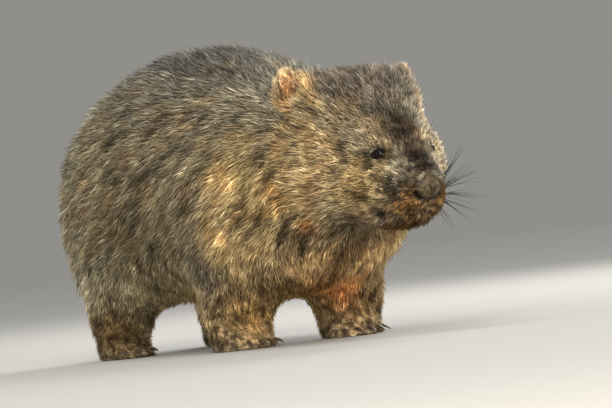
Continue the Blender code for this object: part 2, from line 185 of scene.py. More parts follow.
soft_box("soft_box_key", (4.7, -4.0, 3.3), 2.8, 300, (1.0, 0.96, 0.9))
soft_box("soft_box_low", (5.2, -0.6, 1.0), 1.6, 110, (1.0, 0.96, 0.9))
soft_box("soft_box_top", (-0.4, -0.6, 3.4), 2.4, 38, (1.0, 1.0, 1.0))
soft_box("soft_box_rim", (-1.2, 2.2, 1.9), 1.6, 60, (0.96, 0.98, 1.0))
bpy.context.scene.view_settings.view_transform = "Standard"


# %% [markdown]
# ## One skin
#
# The hide of an animal has no seams, so the flesh solids are fused into one closed mesh.
# A voxel remesh does that, whatever their facets are, and a few rounds of smoothing then take
# the facets out. Round the eyes, the nose and the mouth the mesh is split finer for the lids
# and folds to come.

# %% Fuse the flesh
FLESH = ("trunk", "neck", "head", "tail", "nose", "ear", "leg", "foot", "eye")
SKIN_EDGE = 4.0 * MM


def arrays(mesh):
    points = np.empty(len(mesh.vertices) * 3)
    mesh.vertices.foreach_get("co", points)
    return points.reshape(-1, 3)


flesh_nodes = [node for name, node in frame["nodes"].items() if name.startswith(FLESH)]
bm = bmesh.new()
for node in flesh_nodes:
    bm.from_mesh(node.data)
bmesh.ops.remove_doubles(bm, verts=bm.verts, dist=0.01 * MM)
skin = bpy.data.objects.new("skin", bpy.data.meshes.new("skin"))
bm.to_mesh(skin.data)
bm.free()
bpy.context.scene.collection.objects.link(skin)
fuse = skin.modifiers.new("Fuse", "REMESH")
fuse.mode = "VOXEL"
fuse.voxel_size = SKIN_EDGE
fused = bpy.data.meshes.new_from_object(skin.evaluated_get(bpy.context.evaluated_depsgraph_get()))
skin.modifiers.clear()
skin.data = fused
print("fused skin", len(fused.polygons), "faces")


# %% Smooth it and split the face finer
def edge_ends(mesh):
    ends = np.empty(len(mesh.edges) * 2, int)
    mesh.edges.foreach_get("vertices", ends)
    return ends.reshape(-1, 2)


def neighbour_mean(values, ends, count):
    """The mean of each vertex's neighbours, for one number or several a vertex."""
    both = np.concatenate([ends, ends[:, ::-1]])
    degree = np.maximum(np.bincount(both[:, 0], minlength=count), 1)
    columns = values.reshape(count, -1)
    sums = [np.bincount(both[:, 0], weights=columns[both[:, 1], i], minlength=count)
            for i in range(columns.shape[1])]
    return (np.stack(sums, axis=1) / degree[:, None]).reshape(values.shape)


def smooth(mesh, rounds, share=1.0):
    """Smooths without shrinking: each round pulls in by a little and pushes out by a little more."""
    points, ends = arrays(mesh), edge_ends(mesh)
    for _ in range(rounds):
        for step in (0.5, -0.52):
            points += (neighbour_mean(points, ends, len(points)) - points) * step * share
    mesh.vertices.foreach_set("co", points.ravel())
    mesh.update()


HEAD_PIVOT = np.array((171.0, 0.0, 272.0))
HEAD_TURN = math.radians(1.5)
NOSE_TIP = np.array((405.0, 0.0, 194.0))


def straight(points):
    """Points in mm as they would lie if the head looked straight ahead."""
    moved = points - HEAD_PIVOT
    cos, sin = math.cos(HEAD_TURN), math.sin(HEAD_TURN)
    return np.stack([moved[:, 0] * cos + moved[:, 1] * sin, moved[:, 1] * cos - moved[:, 0] * sin,
                     moved[:, 2]], axis=1) + HEAD_PIVOT


eye_corners = np.array([corner[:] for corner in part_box("eye_left")]) / MM
EYE = straight(eye_corners.mean(axis=0)[None])[0]
print("eye on the straight head", EYE.round(1))


def one_side(points):
    """The same points with the animal's right side folded onto its left."""
    return points * (1, 0, 1) + np.abs(points) * (0, 1, 0)


def split_near(mesh, place, radius):
    """Splits every edge near a place, given in mm on one side of the straight head."""
    near = np.linalg.norm(one_side(straight(arrays(mesh) / MM)) - place, axis=1) < radius
    bm = bmesh.new()
    bm.from_mesh(mesh)
    bm.verts.ensure_lookup_table()
    edges = [edge for edge in bm.edges if near[edge.verts[0].index] and near[edge.verts[1].index]]
    bmesh.ops.subdivide_edges(bm, edges=edges, cuts=1, use_grid_fill=True)
    bm.to_mesh(mesh)
    bm.free()


SHAPED_FEET = 55 * MM
points = arrays(skin.data)
weight = np.clip(points[:, 2] / SHAPED_FEET, 0.15, 1.0)[:, None]
smooth(skin.data, 24, weight)
split_near(skin.data, NOSE_TIP + (-30, 0, 0), 85)
split_near(skin.data, EYE, 17)
split_near(skin.data, NOSE_TIP + (-12, 0, -14), 42)
at_face = np.linalg.norm(straight(arrays(skin.data) / MM) - NOSE_TIP, axis=1) < 125
smooth(skin.data, 3, at_face[:, None].astype(float))
print("skin", len(skin.data.vertices), "vertices")

# %% [markdown]
# ## Where the coat is long and where it is short
#
# On a wombat the coat is long and coarse over the back, flanks and cheeks, shorter on the legs,
# and as short as velvet round the muzzle. That one measure, the coat's length, is worked out at
# every vertex of the skin. It says how deep the skin lies under the outline, and later how long
# each tuft grows.


# %% Coat length and depth
def fade(value, start, end):
    """0 at start, 1 at end, and smooth between them."""
    share = np.clip((value - start) / (end - start), 0, 1)
    return share * share * (3 - 2 * share)


def read_normals(mesh):
    values = np.empty(len(mesh.vertices) * 3)
    mesh.vertex_normals.foreach_get("vector", values)
    return values.reshape(-1, 3)


def within(points, place, radii):
    """1 in the middle of an ellipsoid, fading to 0 past its surface."""
    return np.exp(-1.2 * np.sum(((points - np.array(place)) / np.array(radii)) ** 2, axis=1) ** 1.5)


outline = arrays(skin.data) / MM
outward = read_normals(skin.data)
ends = edge_ends(skin.data)
head_side = one_side(straight(outline))
from_nose = np.linalg.norm(head_side - NOSE_TIP, axis=1)
in_head = fade(outline[:, 0] + 0.12 * (outline[:, 2] - 250), 165, 215)

EAR_MIDDLE = (236, 88, 347)
EAR_REACH = (27, 28, 32)
in_ear = np.clip(within(head_side, EAR_MIDDLE, EAR_REACH) * 2.2, 0, 1) * fade(outline[:, 2], 322, 336)
in_leg = fade(outline[:, 2], 165, 105)
in_foot = fade(outline[:, 2], 52, 34)

length = np.full(len(outline), 22.0)
length = length * (1 - in_leg) + np.interp(outline[:, 2], (0, 20, 50, 95, 160), (5, 8, 12, 15, 19)) * in_leg
head_length = np.interp(from_nose, (0, 24, 50, 90, 140, 210), (2.2, 4.4, 8, 11, 14, 19))
head_length += 7 * within(head_side, (262, 95, 200), (60, 60, 45))
head_length += 4 * within(head_side, (365, 0, 148), (40, 40, 10))
length = length * (1 - in_head) + head_length * in_head
length = length * (1 - in_ear) + np.where(outline[:, 1] > 0, 7, 10) * in_ear
fringe = within(head_side, (262, 80, 345), (18, 12, 24))
length += 8 * fringe
length = length * (1 - 0.5 * within(outline, (-396, 0, 238), (26, 22, 30)))

depth = 0.6 * length
depth = depth * (1 - in_ear) + 1.3 * in_ear
depth *= 1 - 0.6 * within(head_side, EYE, (26, 26, 26))
depth *= fade(outline[:, 2], 0.5, 12)
for _ in range(6):
    depth = 0.5 * depth + 0.5 * neighbour_mean(depth, ends, len(depth))
inner = outline - outward * depth[:, None]
print("coat depth", depth.min().round(1), "to", depth.max().round(1), "mm")

# %% [markdown]
# ## The face
#
# The bare nose is a rounded pad over two slit nostrils, split below by a cleft down to the
# lip. A fold crosses the bridge above it. The mouth runs back from the cleft under the lip
# pads, and the lids leave an almond of the eye open. Each of these is a groove, a swelling or a
# rim, so each is a small push on the skin's vertices by their distance from a line or a place.


# %% Grooves, swellings and the nose pad
def along_line(points, normals, line):
    """How far points are from a line in the skin, and where along it they are nearest (0 to 1)."""
    line = np.array(line, float)
    best = np.full(len(points), 1e9)
    where = np.zeros(len(points))
    for index, (start, end) in enumerate(zip(line, line[1:])):
        span = end - start
        share = np.clip((points - start) @ span / (span @ span), 0, 1)
        gap = points - (start + share[:, None] * span)
        flat = gap - normals * np.sum(gap * normals, axis=1)[:, None]
        near = np.linalg.norm(flat, axis=1) + 50.0 * (np.linalg.norm(gap, axis=1) > 16)
        closer = near < best
        best[closer] = near[closer]
        where[closer] = (index + share[closer]) / (len(line) - 1)
    return best, where


FOLD = [(403, -4, 224), (402, 9, 224), (399, 17, 222), (394, 24, 218)]
SECOND_FOLD = [(399, -4, 231), (397, 8, 231.5), (394, 15, 230)]
NOSTRIL = [(398.5, 21.5, 189), (400.5, 18.5, 183.5), (401.5, 13.5, 180)]
CLEFT = [(405, 0, 180), (400, 0, 172), (393, 0, 162)]
MOUTH = [(393, 0, 161.5), (389, 13, 159.8), (382, 24, 160.5), (373, 33.5, 163.2), (361, 41, 166), (354, 44.5, 169.5)]


def straight_turn(vectors):
    return straight(vectors + HEAD_PIVOT) - HEAD_PIVOT


def held(points):
    """The way back from the straight head to the head as it is held."""
    moved = points - HEAD_PIVOT
    cos, sin = math.cos(HEAD_TURN), math.sin(HEAD_TURN)
    return np.stack([moved[:, 0] * cos - moved[:, 1] * sin, moved[:, 1] * cos + moved[:, 0] * sin,
                     moved[:, 2]], axis=1) + HEAD_PIVOT


face = straight(inner)
side = np.where(face[:, 1] < 0, -1.0, 1.0)
face[:, 1] = np.abs(face[:, 1])
facing = straight_turn(outward)
facing[:, 1] *= side

half_width = np.interp(face[:, 2], (178, 182, 187, 193, 200, 207, 213), (6, 13, 19.5, 20.5, 17, 11, 3))
pad = fade(half_width - face[:, 1], -1.5, 2.5) * fade(face[:, 2], 177, 181) * fade(face[:, 2], 215, 210)
pad *= face[:, 0] > 385

push = np.zeros(len(face))
near, near_end = along_line(face, facing, FOLD)
fold_near = near
push -= 3.0 * np.exp(-(near / 2.4) ** 2) * (1 - near_end)
push += 1.2 * within(face, (401, 0, 227.5), (9, 16, 3))
near, _ = along_line(face, facing, SECOND_FOLD)
push -= 0.6 * np.exp(-(near / 2) ** 2)
dome = np.clip(1 - (face[:, 1] / 20) ** 2 - ((face[:, 2] - 197) / 19) ** 2, -0.4, 1)
push += (0.6 + 3.2 * dome) * pad
nostril, _ = along_line(face, facing, NOSTRIL)
push -= 9 * np.exp(-(nostril / 3.0) ** 2)
cleft, _ = along_line(face, facing, CLEFT)
push -= 3.2 * np.exp(-(cleft / 1.7) ** 2) * fade(face[:, 0], 380, 388)
mouth, mouth_share = along_line(face, facing, MOUTH)
push -= 3.6 * np.exp(-(mouth / 2.0) ** 2)
push += 1.2 * within(face, (384, 22, 174), (20, 12, 12))
push += 1.8 * within(face, (350, 44, 258), (14, 8, 7))
face += facing * push[:, None]
under_nose = within(face, (402, 0, 163), (24, 20, 15))
face[:, 0] -= 7.0 * under_nose
print("nose pad", int((pad > 0.5).sum()), "vertices")

# %% Lids
BALL = 9.5
LID = 1.1
OPENING = (9.0, 6.2)
EYE_OUT = np.array((0.74, 0.63, 0.22))
EYE_OUT /= np.linalg.norm(EYE_OUT)
EYE_ALONG = np.cross((0, 0, 1.0), EYE_OUT)
EYE_ALONG /= np.linalg.norm(EYE_ALONG)
EYE_UP = np.cross(EYE_OUT, EYE_ALONG)

gap = face - EYE
across, above, ahead = gap @ EYE_ALONG, gap @ EYE_UP, gap @ EYE_OUT
radius = np.hypot(across, above)
opening = np.hypot(across / OPENING[0], above / OPENING[1])
at_eye = (radius < 20) & (ahead > -6)
lid_height = np.sqrt(np.maximum((BALL + LID) ** 2 - radius ** 2, 0))
lid_height = np.where(radius < BALL + LID, lid_height, 0)
rim = 0.6 * np.exp(-((opening - 1.12) / 0.12) ** 2)
over_ball = np.maximum(ahead, lid_height + rim)
blend_in = fade(radius, 14, 8)
raised = ahead * (1 - blend_in) + over_ball * blend_in
inside = fade(opening, 1.03, 0.93)
raised = raised * (1 - inside) + np.minimum(raised, lid_height - 3.2) * inside
face += np.where(at_eye, raised - ahead, 0)[:, None] * EYE_OUT
almond = np.hypot((across - 1.5) / 12.5, above / 8.0)
lid_line = at_eye * fade(almond, 1.12, 0.92)

face[:, 1] *= side
shaped = held(face)
in_face = from_nose < 130
skin_points = np.where(in_face[:, None], shaped, inner)
skin.data.vertices.foreach_set("co", (skin_points * MM).astype(np.float32).ravel())
skin.data.update()
skin.data.shade_smooth()
normals = read_normals(skin.data)
print("lids round", int((lid_line > 0.5).sum()), "vertices")

# %% [markdown]
# ## The lie of the coat
#
# Hair lies back from the nose over the face, fans out round each eye, runs along the back, falls
# down the flanks and legs and turns forward over the toes. A wombat's coarse hair also swirls a
# little and sticks together in locks. The lie is a direction at every vertex: a few simple
# streams are mixed, laid flat into the skin, evened out and then turned by a soft noise.


# %% Streams
def noise(points, size, seed):
    """Soft random values from -1 to 1 that change over a size in mm."""
    table = np.random.default_rng(seed).uniform(-1, 1, 4096)
    grid = points / size + 1000.0
    cell = np.floor(grid).astype(np.int64)
    part = grid - cell
    part = part * part * (3 - 2 * part)
    total = np.zeros(len(points))
    for corner in range(8):
        step = np.array([corner & 1, corner >> 1 & 1, corner >> 2 & 1])
        x, y, z = (cell + step).T
        value = table[(x * 73856093 ^ y * 19349663 ^ z * 83492791) % len(table)]
        total += value * np.prod(np.where(step, part, 1 - part), axis=1)
    return total


def unit(vectors):
    return vectors / np.maximum(np.linalg.norm(vectors, axis=1), 1e-9)[:, None]


def flat(vectors, normals):
    return unit(vectors - normals * np.sum(vectors * normals, axis=1)[:, None])


def mix(first, second, share):
    return first * (1 - share[:, None]) + second * share[:, None]


x, y, z = skin_points.T
mirrored = np.stack([np.ones(len(x)), np.where(y < 0, -1.0, 1.0), np.ones(len(x))], axis=1)
folded = one_side(straight(skin_points))
flank = 1 - np.abs(normals[:, 2])
drop = np.interp(x, (-380, -300, -200, 0, 60, 160), (1.8, 1.3, 0.75, 0.85, 1.4, 0.8)) * flank
stream = np.stack([-np.ones(len(x)), np.zeros(len(x)), -drop], axis=1)
stream = mix(stream, np.array((-0.12, 0.0, -1.0)), in_leg)
stream = mix(stream, np.array((1.0, 0.0, -0.35)), in_foot * fade(normals[:, 0], -0.3, 0.3))
off_nose = unit(folded - NOSE_TIP) + (0, 0.1, -0.12)
off_eye = unit(folded - EYE) * np.exp(-(np.linalg.norm(folded - EYE, axis=1) / 17) ** 2)[:, None]
stream = mix(stream, (off_nose + 0.9 * off_eye) * mirrored, in_head)
stream = mix(stream, np.array((-0.1, 0.4, 1.0)) * mirrored, np.maximum(in_ear, 0.8 * fringe))
tail = within(skin_points, (-400, 0, 238), (26, 20, 30))
stream = mix(stream, np.array((-0.4, 0.0, -1.0)), tail)
comb = flat(stream, normals)
for _ in range(10):
    comb = flat(comb + neighbour_mean(comb, ends, len(comb)), normals)
swirl = 0.3 * noise(skin_points, 40, 3) + 0.3 * noise(skin_points, 12, 4)
swirl *= np.clip(length / 20, 0.25, 1)
comb = comb * np.cos(swirl)[:, None] + np.cross(normals, comb) * np.sin(swirl)[:, None]
print("combed", len(comb), "vertices")

# %% [markdown]
# ## Markings
#
# The coat is agouti: each hair is banded, dark at the root and pale near the tip, and the bands
# are paler here and darker there. The back and crown are grey, the shoulders and cheeks golden,
# the legs, chest and lips brown. Skin and tufts take one and the same colour from each vertex,
# mixed from a few soft patches, some of them painted shade under the cheeks and beside the nose
# pad, with dark and pale clusters of hair over them, the dark ones partly painted shade.

# %% Patches of colour
FLANK = "#a1987f"
MARKINGS = [
    # (middle, radii) in mm on the animal's left side, colour, strength
    ((-70, 0, 430), (430, 160, 145), "#5f5e59", 0.95),     # back
    ((-340, 0, 295), (140, 150, 125), "#c6c7b6", 0.8),     # rump
    ((-300, 60, 130), (140, 120, 90), "#cdcab4", 0.8),     # thigh
    ((150, 125, 235), (62, 60, 85), "#c0ae80", 0.9),       # shoulder
    ((125, 130, 150), (62, 60, 62), "#dbc698", 0.9),       # upper arm
    ((-100, 0, 90), (260, 110, 75), "#dcc894", 0.9),       # belly
    ((130, 0, 120), (90, 90, 80), "#a27232", 0.9),         # chest
    ((45, 86, 60), (60, 50, 75), "#a57e3f", 0.9),          # fore leg
    ((-238, 116, 42), (66, 60, 58), "#6e5731", 0.88),      # hind leg
    ((48, 150, 118), (26, 40, 45), "#6a6a66", 0.7),        # grey band behind the elbow
    ((172, 50, 112), (36, 50, 32), "#eed3a0", 0.85),        # pale breast
]
HEAD_MARKINGS_AND_SHADE = [
    ((250, 90, 235), (75, 60, 80), "#d5be90", 1.0),        # cheek
    ((210, 85, 210), (55, 50, 60), "#dcc492", 0.9),        # behind the cheek
    ((338, 62, 205), (40, 34, 45), "#b29a68", 0.85),       # front of the cheek
    ((176, 100, 300), (17, 40, 50), "#77746f", 0.6),      # grey band behind the ear
    ((225, 100, 300), (22, 30, 36), "#d2b47e", 0.7),       # golden band below the ear
    ((300, 0, 345), (95, 75, 55), "#6f665a", 1.0),         # crown and forehead
    ((356, 0, 268), (38, 34, 38), "#382c1f", 0.95),         # brow
    ((386, 0, 232), (30, 30, 26), "#261c12", 1.0),         # bridge
    ((352, 46, 262), (13, 14, 8), "#a8946c", 0.6),         # above the eye
    ((367, 38, 241), (9, 9, 12), "#a0875a", 0.7),          # golden before the eye
    ((398, 25, 196), (10, 9, 18), "#352820", 0.85),        # shade beside the nose pad
    ((390, 24, 178), (34, 32, 22), "#8c6c42", 1.0),        # lips
    ((352, 47, 168), (13, 14, 12), "#33251a", 0.9),        # painted shade in the corner of the mouth
    ((355, 0, 150), (52, 48, 20), "#57390f", 1.0),         # chin
    ((285, 0, 135), (70, 70, 30), "#58370c", 0.9),         # throat
    ((226, 108, 203), (14, 12, 12), "#4a3a20", 0.7),       # shade under the cheek, back to front
    ((240, 94, 184), (16, 14, 10), "#4a3a20", 0.85),
    ((266, 76, 170), (18, 16, 10), "#47361c", 0.9),
    ((296, 56, 163), (20, 18, 11), "#47361c", 0.9),
    ((201, 90, 160), (18, 18, 18), "#3c270e", 0.95),
    ((221, 66, 159), (18, 15, 16), "#b8651f", 0.95),        # ginger pit of the throat
    ((236, 88, 347), (30, 26, 32), "#b39a6c", 0.9),        # ear
    ((262, 80, 345), (18, 12, 24), "#bda77a", 0.9),        # fringe before the ear
    ((282, 84, 325), (18, 18, 26), "#b39b6c", 0.8),        # golden corner below it
    ((400, 0, 218), (12, 22, 8), "#3b2b23", 0.9),          # between fold and pad
    ((234, 94, 374), (20, 20, 9), "#d8c8a2", 0.8),         # pale rim of the ear
]
colour = np.tile(linear(FLANK), (len(skin_points), 1))
body_side = one_side(skin_points)
for places, markings in ((body_side, MARKINGS), (folded, HEAD_MARKINGS_AND_SHADE)):
    for middle, radii, code, strength in markings:
        colour = mix(colour, linear(code), strength * within(places, middle, radii))

LEFT_MARKINGS = [
    ((104, 43, 84), (38, 32, 72), "#ffbe80", 1.0),         # ginger front of the left fore leg
    ((248, 82, 352), (32, 28, 38), "#716c66", 0.9),        # its left ear is greyer
    ((238, 118, 350), (18, 8, 26), "#b7aa8c", 0.8),        # with a pale rim
]
for middle, radii, code, strength in LEFT_MARKINGS:
    colour = mix(colour, linear(code), strength * within(skin_points, middle, radii))

ear_way = unit(np.array([(0.6, 0.8, -0.1)]))[0] * mirrored
in_hollow = np.clip(1.8 * within(folded, (240, 95, 346), (12, 10, 18)), 0, 1)
in_hollow *= fade(np.sum(normals * ear_way, axis=1), 0.2, 0.6)
colour = mix(colour, linear("#d8ab7c"), in_hollow)

SPOTS = [(388, 24, 163), (380, 34, 190), (386, 30, 200), (286, 91, 294), (327, 74, 260),
         (344, 53, 263), (305, 67, 335), (326, 82, 231), (264, 100, 284)]
for spot in SPOTS:
    colour = mix(colour, linear("#332b25"), 0.6 * within(folded, spot, (8, 9, 7)))

streaks = skin_points + comb * 14 * noise(skin_points, 30, 8)[:, None]


def drawn_out(grain, seed, reach):
    """Noise drawn out along the hair, as the mean of five places up and down its way."""
    steps = np.linspace(-reach, reach, 5)
    return 1.5 * np.mean([noise(streaks + step * comb, grain, seed) for step in steps], axis=0)


LONG_COAT = fade(length, 11, 18)
clusters = (1 - LONG_COAT) * (noise(streaks, 16, 5) + 0.7 * noise(streaks, 7, 6))
clusters += LONG_COAT * (drawn_out(10, 5, 17) + 0.7 * drawn_out(5, 6, 10))
clusters += 0.9 * noise(streaks, 4.2, 9) * fade(length, 14, 5)
clusters += 0.7 * noise(streaks, 8, 13) * fade(length, 19, 9)
clusters += 0.25 * within(folded, (300, 0, 350), (95, 75, 45)) + 0.4 * within(folded, (356, 0, 268), (40, 36, 40))
cloud = noise(skin_points, 60, 7)
strength = np.clip(length / 9, 0.6, 1)
dark, pale = fade(clusters, 0.15, 0.75), fade(clusters, -0.1, -0.75)
rust = fade(noise(streaks, 24, 12), 0.0, 0.7) * strength
colour = mix(colour, colour * (1.12, 0.9, 0.68), 0.55 * rust * (1 - 0.7 * in_leg))
greyness = fade(skin_points[:, 2], 230, 370)
# Dark clusters are mixed towards this colour: partly darker hair and partly painted shade between the locks, brown
# low down and grey higher up
shadow = mix(np.tile(linear("#2e2112"), (len(x), 1)), linear("#2b2c30"), greyness)
ginger = within(skin_points, LEFT_MARKINGS[0][0], LEFT_MARKINGS[0][1])
colour = mix(colour, shadow, 0.75 * strength * dark * (1 - 0.8 * ginger))
colour *= (1 + 0.7 * strength * pale)[:, None]
colour *= (1 + 0.12 * cloud)[:, None]
# Painted shade in the mouth line, the nostrils, the fold over the nose and the cleft; round the eye the dark rim of
# the lids, partly their own dark skin and partly painted shade
crease_shade_and_lid_rim = np.maximum.reduce([lid_line, 0.8 * np.exp(-(mouth / 2.2) ** 2), np.exp(-(nostril / 3.2) ** 2),
                             0.8 * np.exp(-(fold_near / 2.5) ** 2) * (from_nose < 60),
                             np.exp(-(cleft / 2.0) ** 2) * (folded[:, 0] > 380)])
colour = mix(colour, linear("#120c09"), 0.95 * crease_shade_and_lid_rim)
print("markings", len(MARKINGS) + len(HEAD_MARKINGS_AND_SHADE))


# %% Write the measures on the skin
def put(mesh, name, kind, values, domain="POINT"):
    layer = mesh.attributes.get(name) or mesh.attributes.new(name, kind, domain)
    word = {"FLOAT": "value", "INT": "value", "FLOAT_VECTOR": "vector", "FLOAT_COLOR": "color"}[kind]
    layer.data.foreach_set(word, np.asarray(values, np.int32 if kind == "INT" else np.float32).ravel())


BARE = np.clip(pad * 1.6 + np.exp(-(nostril / 3.5) ** 2) + (almond < 1.08) * at_eye
               + 0.9 * np.exp(-(mouth / 2.6) ** 2) + 0.9 * np.exp(-(cleft / 2.2) ** 2) + 0.9 * in_hollow, 0, 1)
put(skin.data, "comb", "FLOAT_VECTOR", comb)
put(skin.data, "coat_length", "FLOAT", length * MM)
put(skin.data, "coat_colour", "FLOAT_COLOR", np.concatenate([colour, np.ones((len(colour), 1))], axis=1))

faces = skin.data.polygons
corner_start = np.empty(len(faces), int)
faces.foreach_get("loop_start", corner_start)
corner_vertex = np.empty(len(skin.data.loops), int)
skin.data.loops.foreach_get("vertex_index", corner_vertex)
area = np.empty(len(faces))
faces.foreach_get("area", area)


def on_faces(values):
    totals = np.add.reduceat(values[corner_vertex], corner_start)
    return totals / np.diff(np.append(corner_start, len(corner_vertex)))


SHORT_HAIR = 11.0
LONG_TUFT, SHORT_TUFT = 6, 4            # triangles in one tuft
face_length = on_faces(length)
face_bare = on_faces(BARE)
face_x, face_z = on_faces(skin_points[:, 0]), on_faces(skin_points[:, 2])
short = face_length < SHORT_HAIR
per_area = np.where(short, np.interp(face_length, (2, 5, 11), (1.5e6, 1.0e6, 6.0e5)),
                    np.interp(face_length, (11, 14, 24), (4.5e5, 3.3e5, 2.6e5)))
per_area *= (1 - face_bare) * (face_z > 1.5)
triangles = per_area * area * np.where(short, SHORT_TUFT, LONG_TUFT)
region = np.full(len(area), -1)
region[short & (face_x > 150)] = 0
region[short & (face_x <= 150)] = 1
LONG_PIECES = ("rump", "thigh", "loin", "flank", "shoulder", "neck", "crown")
order = np.argsort(face_x + 1e6 * short)
order = order[:int((~short).sum())]
running = np.cumsum(triangles[order])
region[order] = 2 + np.minimum((running / running[-1] * len(LONG_PIECES)).astype(int), len(LONG_PIECES) - 1)
put(skin.data, "region", "INT", region, "FACE")
put(skin.data, "per_area", "FLOAT", per_area, "FACE")
print("tufts", int((per_area * area).sum()), "triangles", int(triangles.sum()))

# %% Unwrap the skin
bpy.context.view_layer.objects.active = skin
skin.select_set(True)
skin.data.uv_layers.new(name="OFBake")
bpy.ops.object.mode_set(mode="EDIT")
bpy.ops.mesh.select_all(action="SELECT")
bpy.ops.uv.smart_project(angle_limit=math.radians(70), island_margin=0.002, area_weight=0.2)
bpy.ops.object.mode_set(mode="OBJECT")
print("skin unwrapped")

# %% [markdown]
# ## Tufts
#
# Real hair is far too fine to model one by one, so one tuft stands for a lock of some dozens: a
# slim closed spike that rises from the skin and then lies down along the comb. A few shapes
# that sway differently keep the coat from looking stamped. Geometry Nodes scatter them over the
# skin, turn each to the lie of the hair and size it by the coat's length there.


# %% Tuft shapes
def tuft(name, waist, sway):
    """A closed spike: z runs along the coat, x off the skin and y across, each in its own measure.

    It is widest at its waist. A waist of 0 makes a straight spike with a flat root."""
    bm = bmesh.new()
    along = bm.verts.layers.float.new("along")
    patch = bm.verts.layers.float_vector.new("patch")

    def corner(share, across, rise):
        vertex = bm.verts.new((1 - (1 - share) ** 1.9 + rise, across + sway * share ** 2, share))
        vertex[along] = share
        vertex[patch] = (across, share, 0)
        return vertex

    ring = [corner(waist, -0.5, 0), corner(waist, 0.5, 0), corner(waist, 0, 0.12)]
    tip = corner(1.0, 0, 0)
    for side in range(3):
        bm.faces.new((ring[side], ring[(side + 1) % 3], tip))
    if waist:
        root = corner(0.0, 0, 0)
        for side in range(3):
            bm.faces.new((ring[(side + 1) % 3], ring[side], root))
    else:
        bm.faces.new(reversed(ring))
    bmesh.ops.recalc_face_normals(bm, faces=bm.faces)
    made = bpy.data.objects.new(name, bpy.data.meshes.new(name))
    bm.to_mesh(made.data)
    bm.free()
    made.data.shade_smooth()
    return made


def shelf(name, shapes):
    collection = bpy.data.collections.new(name)
    for shape in shapes:
        collection.objects.link(shape)
    return collection


SWAYS = (-2.6, -1.3, 0.0, 1.1, 2.4)
long_tufts = shelf("long_tufts", [tuft("long_%d" % i, 0.38, sway) for i, sway in enumerate(SWAYS)])
short_tufts = shelf("short_tufts", [tuft("short_%d" % i, 0.0, sway) for i, sway in enumerate((-1.2, 0.0, 1.2))])


# %% The planting tree
def socket(tree, name, kind, value=None, into="INPUT"):
    made = tree.interface.new_socket(name, in_out=into, socket_type=kind)
    if value is not None:
        made.default_value = value
    return made


